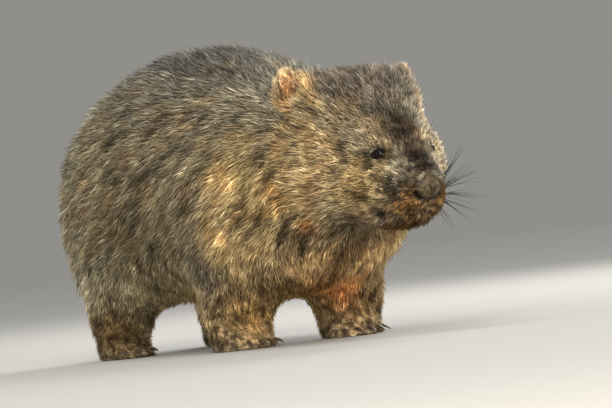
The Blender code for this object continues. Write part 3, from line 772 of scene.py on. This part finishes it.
def planting_tree():
    tree = bpy.data.node_groups.new("plant_tufts", "GeometryNodeTree")
    socket(tree, "Skin", "NodeSocketGeometry")
    socket(tree, "Tufts", "NodeSocketCollection")
    socket(tree, "Shapes", "NodeSocketInt", 5)
    socket(tree, "Region", "NodeSocketInt", 0)
    socket(tree, "Seed", "NodeSocketInt", 1)
    socket(tree, "Width", "NodeSocketFloat", 0.002)
    socket(tree, "Lift", "NodeSocketFloat", 0.5)
    socket(tree, "Stray", "NodeSocketFloat", 0.2)
    socket(tree, "Patch", "NodeSocketFloat", 0.003)
    socket(tree, "Clump", "NodeSocketFloat", 0.008)
    socket(tree, "Uneven", "NodeSocketFloat", 2.0)
    socket(tree, "Finish", "NodeSocketMaterial")
    socket(tree, "Coat", "NodeSocketGeometry", into="OUTPUT")
    given = tree.nodes.new("NodeGroupInput").outputs

    def named(name, kind):
        return add(tree, "GeometryNodeInputNamedAttribute", {"data_type": kind}, Name=name).outputs["Attribute"]

    def random(low, high, salt, kind="FLOAT"):
        first, out = {"FLOAT_VECTOR": (0, 0), "FLOAT": (2, 1), "INT": (4, 2)}[kind]
        seed = add(tree, "ShaderNodeMath", {"operation": "MULTIPLY_ADD"}, _0=given["Seed"], _1=10.0, _2=salt)
        picked = add(tree, "FunctionNodeRandomValue", {"data_type": kind},
                     **{"_%d" % first: low, "_%d" % (first + 1): high, "_8": seed.outputs[0]})
        return picked.outputs[out]

    chosen = add(tree, "FunctionNodeCompare", {"data_type": "INT", "operation": "EQUAL"},
                 _2=named("region", "INT"), _3=given["Region"])
    spread = add(tree, "GeometryNodeDistributePointsOnFaces", Mesh=given["Skin"],
                 Selection=chosen.outputs[0], Density=named("per_area", "FLOAT"), Seed=given["Seed"])
    roots = add(tree, "GeometryNodeStoreNamedAttribute", {"data_type": "FLOAT_VECTOR", "domain": "POINT"},
                Geometry=spread.outputs["Points"], Name="root_uv", Value=named("OFBake", "FLOAT_VECTOR"))
    plain = add(tree, "GeometryNodeRemoveAttribute", Geometry=roots.outputs[0], Name="OFBake")
    stray = add(tree, "ShaderNodeVectorMath", {"operation": "SCALE"},
                _0=random((-1, -1, -1), (1, 1, 1), 1.0, "FLOAT_VECTOR"), Scale=given["Stray"])
    heading = add(tree, "ShaderNodeVectorMath", {"operation": "ADD"},
                  _0=named("comb", "FLOAT_VECTOR"), _1=stray.outputs[0])
    turned = add(tree, "FunctionNodeAxesToRotation", {"primary_axis": "Z", "secondary_axis": "X"},
                 Primary_Axis=heading.outputs[0], Secondary_Axis=spread.outputs["Normal"])
    long = add(tree, "ShaderNodeMath", {"operation": "MULTIPLY"},
               _0=named("coat_length", "FLOAT"), _1=random(0.65, 1.2, 2.0))
    lifted = add(tree, "ShaderNodeMath", {"operation": "MULTIPLY"}, _0=given["Lift"], _1=random(0.55, 1.5, 3.0))
    high = add(tree, "ShaderNodeMath", {"operation": "MULTIPLY"}, _0=long.outputs[0], _1=lifted.outputs[0])
    wide = add(tree, "ShaderNodeMath", {"operation": "MULTIPLY"}, _0=given["Width"], _1=random(0.6, 1.4, 4.0))
    size = add(tree, "ShaderNodeCombineXYZ", X=high.outputs[0], Y=wide.outputs[0], Z=long.outputs[0])
    shapes = add(tree, "GeometryNodeCollectionInfo", Collection=given["Tufts"], Separate_Children=True,
                 Reset_Children=True)
    last = add(tree, "ShaderNodeMath", {"operation": "SUBTRACT"}, _0=given["Shapes"], _1=1.0)
    planted = add(tree, "GeometryNodeInstanceOnPoints", Points=plain.outputs[0], Instance=shapes.outputs[0],
                  Pick_Instance=True, Instance_Index=random(0, last.outputs[0], 5.0, "INT"),
                  Rotation=turned.outputs[0], Scale=size.outputs[0])
    place = tree.nodes.new("GeometryNodeInputPosition").outputs[0]
    fineness = add(tree, "ShaderNodeMath", {"operation": "DIVIDE"}, _0=1.0, _1=given["Clump"])
    clumps = add(tree, "ShaderNodeTexNoise", Vector=place, Scale=fineness.outputs[0], Detail=1.0)
    single = add(tree, "ShaderNodeMath", {"operation": "MULTIPLY_ADD"},
                 _0=random(0.0, 1.0, 6.0), _1=0.6, _2=0.2)
    centred = add(tree, "ShaderNodeMath", {"operation": "SUBTRACT"}, _0=clumps.outputs["Fac"], _1=0.5)
    mixed = add(tree, "ShaderNodeMath", {"operation": "MULTIPLY_ADD", "use_clamp": True},
                _0=centred.outputs[0], _1=given["Uneven"], _2=single.outputs[0])
    toned = add(tree, "GeometryNodeStoreNamedAttribute", {"data_type": "FLOAT", "domain": "INSTANCE"},
                Geometry=planted.outputs[0], Name="tone", Value=mixed.outputs[0])
    loose = add(tree, "GeometryNodeRealizeInstances", Geometry=toned.outputs[0])
    spot = add(tree, "ShaderNodeSeparateXYZ", _0=place)
    above = add(tree, "ShaderNodeMath", {"operation": "MAXIMUM"}, _0=spot.outputs["Z"], _1=0.0005)
    kept = add(tree, "ShaderNodeCombineXYZ", X=spot.outputs["X"], Y=spot.outputs["Y"], Z=above.outputs[0])
    real = add(tree, "GeometryNodeSetPosition", Geometry=loose.outputs[0], Position=kept.outputs[0])
    small = add(tree, "ShaderNodeVectorMath", {"operation": "SCALE"},
                _0=named("patch", "FLOAT_VECTOR"), Scale=given["Patch"])
    laid = add(tree, "ShaderNodeVectorMath", {"operation": "ADD"},
               _0=named("root_uv", "FLOAT_VECTOR"), _1=small.outputs[0])
    mapped = add(tree, "GeometryNodeStoreNamedAttribute", {"data_type": "FLOAT2", "domain": "CORNER"},
                 Geometry=real.outputs[0], Name="OFBake", Value=laid.outputs[0])
    dressed = add(tree, "GeometryNodeSetMaterial", Geometry=mapped.outputs[0], Material=given["Finish"])
    add(tree, "NodeGroupOutput", Coat=dressed.outputs[0])
    return tree


plant = planting_tree()
print("planting tree", len(plant.nodes), "nodes")

# %% [markdown]
# ## Hair and hide
#
# Hair keratin is half matt, with a soft shine along the lock. Each lock is darker at its root,
# partly its own dark band and partly painted shade where no light gets in, and palest just short
# of its tip. The hide below is rough and painted dark, as shade, so that a gap between locks reads
# as depth.

# %% Hair material
hair, tree, shader = new_material("banded_guard_hair")
painted = add(tree, "ShaderNodeAttribute", {"attribute_name": "coat_colour"})
along = add(tree, "ShaderNodeAttribute", {"attribute_name": "along"})
tone = add(tree, "ShaderNodeAttribute", {"attribute_name": "tone"})


def ramp(tree, factor, stops):
    """A grey scale with a value at each place along the factor."""
    made = add(tree, "ShaderNodeFloatCurve", Value=factor)
    curve = made.mapping.curves[0]
    made.mapping.clip_max_y = 4
    made.mapping.extend = "HORIZONTAL"
    curve.points[0].location, curve.points[1].location = stops[0], stops[-1]
    for stop in stops[1:-1]:
        curve.points.new(*stop)
    made.mapping.update()
    return made.outputs[0]


# Painted shade at the root, where no light gets in, on top of the hair's own dark band; the pale tip is the hair's
# own
band = ramp(tree, along.outputs["Fac"], ((0, 0.34), (0.45, 0.85), (0.85, 1.5), (1, 1.35)))
LOCKS = ((0.0, (0.34, 0.34, 0.38)), (0.2, (0.74, 0.64, 0.54)), (0.55, (1.02, 0.98, 0.95)),
         (0.86, (1.36, 1.34, 1.34)), (1.0, (2.0, 2.0, 2.1)))
BRIGHTEST = 2.2
lock = add(tree, "ShaderNodeValToRGB", Fac=tone.outputs["Fac"])
for number, (place, tint) in enumerate(LOCKS):
    stop = lock.color_ramp.elements[0] if number == 0 else lock.color_ramp.elements.new(place)
    stop.position = place
    stop.color = (*[part / BRIGHTEST for part in tint], 1)
lock.color_ramp.elements.remove(lock.color_ramp.elements[-1])
shade = add(tree, "ShaderNodeMath", {"operation": "MULTIPLY"}, _0=band, _1=BRIGHTEST)
tinted = add(tree, "ShaderNodeVectorMath", {"operation": "MULTIPLY"}, _0=painted.outputs["Color"],
             _1=lock.outputs["Color"])
toned = add(tree, "ShaderNodeVectorMath", {"operation": "SCALE"}, _0=tinted.outputs[0], Scale=shade.outputs[0])
tree.links.new(toned.outputs[0], shader.inputs["Base Color"])
shader.inputs["Roughness"].default_value = 0.55
shader.inputs["Specular IOR Level"].default_value = 0.12

hide, tree, shader = new_material("haired_hide")
painted = add(tree, "ShaderNodeAttribute", {"attribute_name": "coat_colour"})
place = add(tree, "ShaderNodeTexCoord")
fine = add(tree, "ShaderNodeTexNoise", Vector=place.outputs["Object"], Scale=420.0, Detail=3.0)
# The hide takes the coat's colour darkened to between 0.3 and 0.75 by a fine noise: painted shade, so that a gap
# between locks reads as depth, with a grain in it
grain = ramp(tree, fine.outputs["Fac"], ((0, 0.3), (0.5, 0.5), (1, 0.75)))
toned = add(tree, "ShaderNodeVectorMath", {"operation": "SCALE"}, _0=painted.outputs["Color"], Scale=grain)
tree.links.new(toned.outputs[0], shader.inputs["Base Color"])
shader.inputs["Roughness"].default_value = 0.8
shader.inputs["Specular IOR Level"].default_value = 0.15
raised_grain = add(tree, "ShaderNodeBump", Strength=0.5, Distance=0.6 * MM, Height=fine.outputs["Fac"])
tree.links.new(raised_grain.outputs[0], shader.inputs["Normal"])
skin.data.materials.clear()
skin.data.materials.append(hide)
print("hair and hide")


# %% Grow the coat
def grow(name, region, tufts, width, lift, stray, clump, uneven):
    """Plants one region of the skin, and keeps the result as a plain mesh."""
    planter = skin.modifiers.new("Plant", "NODES")
    planter.node_group = plant
    wanted = {"Tufts": tufts, "Shapes": len(tufts.objects), "Region": region, "Seed": region + 11,
              "Width": width, "Lift": lift, "Stray": stray, "Clump": clump, "Uneven": uneven,
              "Patch": 0.003, "Finish": hair}
    for item in plant.interface.items_tree:
        if item.name in wanted:
            planter[item.identifier] = wanted[item.name]
    mesh = bpy.data.meshes.new_from_object(skin.evaluated_get(bpy.context.evaluated_depsgraph_get()))
    skin.modifiers.clear()
    for layer in ("comb", "coat_length", "root_uv", "patch", "per_area", "region"):
        if layer in mesh.attributes:
            mesh.attributes.remove(mesh.attributes[layer])
    mesh.name = name
    piece = bpy.data.objects.new(name, mesh)
    bpy.context.scene.collection.objects.link(piece)
    print(name, len(mesh.polygons), "triangles")
    return piece


coat = [grow("coat_face", 0, short_tufts, 1.25 * MM, 0.45, 0.3, 5.5 * MM, 4.0),
        grow("coat_feet", 1, short_tufts, 1.1 * MM, 0.45, 0.28, 6 * MM, 3.0)]
for number, word in enumerate(LONG_PIECES):
    coat.append(grow("coat_" + word, 2 + number, long_tufts, 1.2 * MM, 0.47, 0.25, 8 * MM, 2.0))

# %% [markdown]
# ## Eyes, nose, claws and whiskers
#
# These are the places where the animal is bare. An eye is a wet ball, so dark that iris and
# pupil only part in close light. The nose is pebbled, slightly moist skin, drawn as a thin pad
# over the hide, and it dips under the hair at its rim. Claws are horn, worn pale at the tip.
# Whiskers are stiff single hairs in rows on the lip pads, and a few stand above the eyes.

# %% Eyes
cornea, tree, shader = new_material("wet_cornea")
angle = add(tree, "ShaderNodeAttribute", {"attribute_name": "from_pupil"})
rings = add(tree, "ShaderNodeValToRGB", Fac=angle.outputs["Fac"])
IRIS = ((0.0, "#040303"), (0.26, "#060404"), (0.32, "#150c07"), (0.5, "#1d110a"), (0.58, "#080504"), (1.0, "#0b0706"))
for place, (share, code) in enumerate(IRIS):
    stop = rings.color_ramp.elements[place] if place < 2 else rings.color_ramp.elements.new(share)
    stop.position = share
    stop.color = (*linear(code), 1)
tree.links.new(rings.outputs["Color"], shader.inputs["Base Color"])
shader.inputs["Roughness"].default_value = 0.06
shader.inputs["IOR"].default_value = 1.38
shader.inputs["Specular IOR Level"].default_value = 0.35


def link(piece):
    bpy.context.scene.collection.objects.link(piece)
    return piece


def eyeball(name, node):
    low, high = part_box(node)
    middle = (low + high) / 2
    sign = 1 if middle.y > 0 else -1
    axis = Vector(held((EYE_OUT * (1, sign, 1))[None] + HEAD_PIVOT)[0] - HEAD_PIVOT).normalized()
    bm = bmesh.new()
    bmesh.ops.create_uvsphere(bm, u_segments=40, v_segments=24, radius=BALL * MM)
    bmesh.ops.rotate(bm, verts=bm.verts, matrix=axis.to_track_quat("Z", "Y").to_matrix())
    layer = bm.verts.layers.float.new("from_pupil")
    for vertex in bm.verts:
        off = vertex.co.normalized().angle(axis) / math.pi * 2
        vertex[layer] = min(off, 1.0)
        vertex.co *= 1 + 0.05 * max(0.0, 1 - (off / 0.6) ** 2)
        vertex.co += middle
    piece = link(bpy.data.objects.new(name, bpy.data.meshes.new(name)))
    bm.to_mesh(piece.data)
    bm.free()
    piece.data.shade_smooth()
    piece.data.materials.append(cornea)
    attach(piece, "root")
    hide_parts(node)


eyeball("eyeball_left", "eye_left")
eyeball("eyeball_right", "eye_right")
print("eyes", BALL * 2, "mm across")

# %% Nose pad
leather, tree, shader = new_material("pebbled_nose_skin")
place = add(tree, "ShaderNodeTexCoord")
PEBBLE = 1.1                              # mm across; real ones are about 0.6, too fine to show
pebbles = add(tree, "ShaderNodeTexVoronoi", {"feature": "DISTANCE_TO_EDGE"},
              Vector=place.outputs["Object"], Scale=1000 / PEBBLE)
blotch = add(tree, "ShaderNodeTexNoise", Vector=place.outputs["Object"], Scale=160.0, Detail=4.0)
worn = add(tree, "ShaderNodeValToRGB", Fac=blotch.outputs["Fac"])
worn.color_ramp.elements[0].position, worn.color_ramp.elements[1].position = 0.32, 0.7
worn.color_ramp.elements[0].color = (*linear("#2b2015"), 1)
worn.color_ramp.elements[1].color = (*linear("#7f6a4a"), 1)
# The grooves between pebbles are darkened as well as dented: painted shade in them
crease = ramp(tree, pebbles.outputs["Distance"], ((0, 0.55), (0.12, 1), (1, 1)))
# The pad's colour is dimmed by the painted shade worked out on its vertices below
pad_shade_node = add(tree, "ShaderNodeAttribute", {"attribute_name": "painted_pad_shade"})
both = add(tree, "ShaderNodeMath", {"operation": "MULTIPLY"}, _0=crease, _1=pad_shade_node.outputs["Fac"])
toned = add(tree, "ShaderNodeVectorMath", {"operation": "SCALE"}, _0=worn.outputs["Color"], Scale=both.outputs[0])
tree.links.new(toned.outputs[0], shader.inputs["Base Color"])
dented = add(tree, "ShaderNodeBump", Strength=0.6, Distance=0.25 * MM, Height=pebbles.outputs["Distance"])
tree.links.new(dented.outputs[0], shader.inputs["Normal"])
shader.inputs["Roughness"].default_value = 0.5
shader.inputs["Specular IOR Level"].default_value = 0.25

PAD_LIFT, PAD_SUNK, PAD_THICK = 0.7 * MM, 0.9 * MM, 1.6 * MM
pad_share = np.clip(np.maximum(pad, np.exp(-(nostril / 4.0) ** 2)), 0, 1)
for _ in range(2):
    pad_share = neighbour_mean(pad_share, ends, len(pad_share))
bm = bmesh.new()
bm.from_mesh(skin.data)
bm.verts.ensure_lookup_table()
bm.faces.ensure_lookup_table()
outside = [face for face, share in zip(bm.faces, on_faces(pad_share)) if share < 0.12]
pad_shade_layer = bm.verts.layers.float.new("painted_pad_shade")
lifts = PAD_LIFT * fade(pad_share, 0.3, 0.6) - PAD_SUNK * fade(pad_share, 0.4, 0.12)
# Painted shade on the pad: dark in the nostrils, along its rim where the hair meets it, and towards its lower part,
# which the light from above leaves in shadow
from_rim = np.minimum(half_width - face[:, 1] * side, 1.2 * (face[:, 2] - 178))
pad_shade = (1 - 0.85 * np.exp(-(nostril / 2.6) ** 2)) * (0.5 + 0.5 * fade(from_rim, 0, 8))
pad_shade *= 0.55 + 0.45 * fade(face[:, 2], 184, 203)
for vertex, lift, shade in zip(bm.verts, lifts, pad_shade):
    vertex.co += vertex.normal * lift
    vertex[pad_shade_layer] = shade
bmesh.ops.delete(bm, geom=outside, context="FACES")
nose_pad = link(bpy.data.objects.new("nose_pad", bpy.data.meshes.new("nose_pad")))
bm.to_mesh(nose_pad.data)
bm.free()
thicken = nose_pad.modifiers.new("Thicken", "SOLIDIFY")
thicken.thickness = PAD_THICK
thicken.offset = -1
solid_pad = bpy.data.meshes.new_from_object(nose_pad.evaluated_get(bpy.context.evaluated_depsgraph_get()))
nose_pad.modifiers.clear()
nose_pad.data = solid_pad
for layer in ("comb", "coat_length", "coat_colour", "per_area", "region", "OFBake"):
    if layer in solid_pad.attributes:
        solid_pad.attributes.remove(solid_pad.attributes[layer])
solid_pad.materials.clear()
solid_pad.materials.append(leather)
solid_pad.shade_smooth()
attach(nose_pad, "root")
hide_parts("nose")
print("nose pad", len(solid_pad.polygons), "faces")

# %% Claws
horn, tree, shader = new_material("claw_horn")
place = add(tree, "ShaderNodeTexCoord")
STRETCH = (60.0, 700.0, 700.0)            # grooves run along the claw, about 1.5 mm apart
long_way = add(tree, "ShaderNodeMapping", Vector=place.outputs["Object"], Scale=STRETCH)
grooves = add(tree, "ShaderNodeTexNoise", Vector=long_way.outputs[0], Scale=1.0, Detail=2.0)
horny = add(tree, "ShaderNodeValToRGB", Fac=grooves.outputs["Fac"])
horny.color_ramp.elements[0].position, horny.color_ramp.elements[1].position = 0.35, 0.7
horny.color_ramp.elements[0].color = (*linear("#2c2119"), 1)
horny.color_ramp.elements[1].color = (*linear("#6b5844"), 1)
tree.links.new(horny.outputs["Color"], shader.inputs["Base Color"])
dented = add(tree, "ShaderNodeBump", Strength=0.4, Distance=0.2 * MM, Height=grooves.outputs["Fac"])
tree.links.new(dented.outputs[0], shader.inputs["Normal"])
shader.inputs["Roughness"].default_value = 0.38
for foot in ("fore_left", "fore_right", "hind_left", "hind_right"):
    names = sorted(name for name in frame["nodes"] if name.startswith("claw_" + foot))
    bm = bmesh.new()
    for name in names:
        bm.from_mesh(frame["nodes"][name].data)
    bmesh.ops.remove_doubles(bm, verts=bm.verts, dist=0.01 * MM)
    claws = link(bpy.data.objects.new("claws_" + foot, bpy.data.meshes.new("claws_" + foot)))
    bm.to_mesh(claws.data)
    bm.free()
    claws.data.materials.clear()
    claws.data.materials.append(horn)
    rounding = claws.modifiers.new("Round", "SUBSURF")
    rounding.levels = rounding.render_levels = 2
    rounded = bpy.data.meshes.new_from_object(claws.evaluated_get(bpy.context.evaluated_depsgraph_get()))
    claws.modifiers.clear()
    claws.data = rounded
    rounded.shade_smooth()
    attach(claws, "root")
    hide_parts(*names)
print("claws on 4 feet")

# %% Whisker roots
# Rows on the straight head in mm: where the row starts and ends, how many, how long, which way.
WHISKERS = [
    ((396, 26, 198), (362, 45, 203), 9, 66, (0.5, 0.7, 0.85)),
    ((396, 26, 191), (360, 46, 193), 10, 76, (0.5, 0.85, 0.38)),
    ((394, 25, 184), (360, 46, 184), 9, 74, (0.45, 0.88, -0.05)),
    ((391, 24, 177), (362, 45, 177), 8, 64, (0.45, 0.80, -0.4)),
    ((386, 20, 169), (366, 36, 169), 5, 46, (0.4, 0.65, -0.7)),
    ((354, 38, 264), (348, 44, 262), 3, 34, (0.5, 0.45, 0.8)),
]
roots, ways, lengths = [], [], []
dice = np.random.default_rng(21)
bare = straight(skin_points)
for start, end, count, reach, way in WHISKERS:
    for share in np.linspace(0, 1, count):
        for sign in (1, -1):
            spot = (np.array(start) * (1 - share) + np.array(end) * share) * (1, sign, 1) + dice.normal(0, 1.2, 3)
            roots.append(skin_points[np.argmin(np.linalg.norm(bare - spot, axis=1))])
            sweep_back = np.array((-0.45 * share, 0, 0))
            ways.append(unit(((np.array(way) + sweep_back) * (1, sign, 1) + dice.normal(0, 0.12, 3))[None])[0])
            lengths.append(reach * (0.6 + 0.4 * (1 - abs(share - 0.4))) * dice.uniform(0.75, 1.1))
root_mesh = bpy.data.meshes.new("whisker_roots")
root_mesh.from_pydata([tuple(root * MM) for root in roots], [], [])
put(root_mesh, "way", "FLOAT_VECTOR", ways)
put(root_mesh, "reach", "FLOAT", np.array(lengths) * MM)
print("whiskers", len(roots))

# %% Whisker shape and tree
RINGS = 7
bm = bmesh.new()
rings = []
for ring in range(RINGS):
    share = ring / RINGS
    thick = 0.5 * (1 - share) ** 0.8
    rings.append([bm.verts.new((thick * math.cos(turn * math.tau / 4), thick * math.sin(turn * math.tau / 4)
                                + 90 * share ** 2 * 0.12, share)) for turn in range(4)])
tip = bm.verts.new((0, 90 * 0.12, 1))
bm.faces.new(reversed(rings[0]))
for low, high in zip(rings, rings[1:]):
    for turn in range(4):
        bm.faces.new((low[turn], low[(turn + 1) % 4], high[(turn + 1) % 4], high[turn]))
for turn in range(4):
    bm.faces.new((rings[-1][turn], rings[-1][(turn + 1) % 4], tip))
bmesh.ops.recalc_face_normals(bm, faces=bm.faces)
one_whisker = bpy.data.objects.new("one_whisker", bpy.data.meshes.new("one_whisker"))
bm.to_mesh(one_whisker.data)
bm.free()

tree = bpy.data.node_groups.new("set_whiskers", "GeometryNodeTree")
socket(tree, "Roots", "NodeSocketGeometry")
socket(tree, "Whisker", "NodeSocketObject")
socket(tree, "Thickness", "NodeSocketFloat", 0.0007)
socket(tree, "Finish", "NodeSocketMaterial")
socket(tree, "Whiskers", "NodeSocketGeometry", into="OUTPUT")
given = tree.nodes.new("NodeGroupInput").outputs
way = add(tree, "GeometryNodeInputNamedAttribute", {"data_type": "FLOAT_VECTOR"}, Name="way")
reach = add(tree, "GeometryNodeInputNamedAttribute", {"data_type": "FLOAT"}, Name="reach")
spots = add(tree, "GeometryNodeMeshToPoints", Mesh=given["Roots"])
turned = add(tree, "FunctionNodeAxesToRotation", {"primary_axis": "Z", "secondary_axis": "Y"},
             Primary_Axis=way.outputs["Attribute"], Secondary_Axis=(-0.8, 0.0, -0.6))
size = add(tree, "ShaderNodeCombineXYZ", X=given["Thickness"], Y=given["Thickness"], Z=reach.outputs["Attribute"])
shape = add(tree, "GeometryNodeObjectInfo", Object=given["Whisker"])
placed = add(tree, "GeometryNodeInstanceOnPoints", Points=spots.outputs[0], Instance=shape.outputs["Geometry"],
             Rotation=turned.outputs[0], Scale=size.outputs[0])
real = add(tree, "GeometryNodeRealizeInstances", Geometry=placed.outputs[0])
smoothed = add(tree, "GeometryNodeSetShadeSmooth", Geometry=real.outputs[0])
dressed = add(tree, "GeometryNodeSetMaterial", Geometry=smoothed.outputs[0], Material=given["Finish"])
add(tree, "NodeGroupOutput", Whiskers=dressed.outputs[0])

bristle, _, shader = new_material("whisker_keratin")
shader.inputs["Base Color"].default_value = (*linear("#14100d"), 1)
shader.inputs["Roughness"].default_value = 0.4
holder = link(bpy.data.objects.new("whiskers", root_mesh))
setter = holder.modifiers.new("Set", "NODES")
setter.node_group = tree
# real whiskers are 0.3 mm thick at the root, too fine to show in the render
wanted = {"Whisker": one_whisker, "Thickness": 0.9 * MM, "Finish": bristle}
for item in tree.interface.items_tree:
    if item.name in wanted:
        setter[item.identifier] = wanted[item.name]
whisker_mesh = bpy.data.meshes.new_from_object(holder.evaluated_get(bpy.context.evaluated_depsgraph_get()))
holder.modifiers.clear()
holder.data = whisker_mesh
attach(holder, "root")
print("whiskers", len(whisker_mesh.polygons), "faces")

# %% [markdown]
# ## Finishing
#
# Skin and coat ride on the one body, because the animal is still, and the skin stands for all
# the flesh solids.

# %% Finish
for piece in coat:
    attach(piece, "root")
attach(skin, "root")
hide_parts(*[name for name in frame["nodes"] if name.startswith(FLESH[:4] + FLESH[5:8])])
for shape in [*long_tufts.objects, *short_tufts.objects, one_whisker]:
    bpy.data.objects.remove(shape)
for collection in (long_tufts, short_tufts):
    bpy.data.collections.remove(collection)
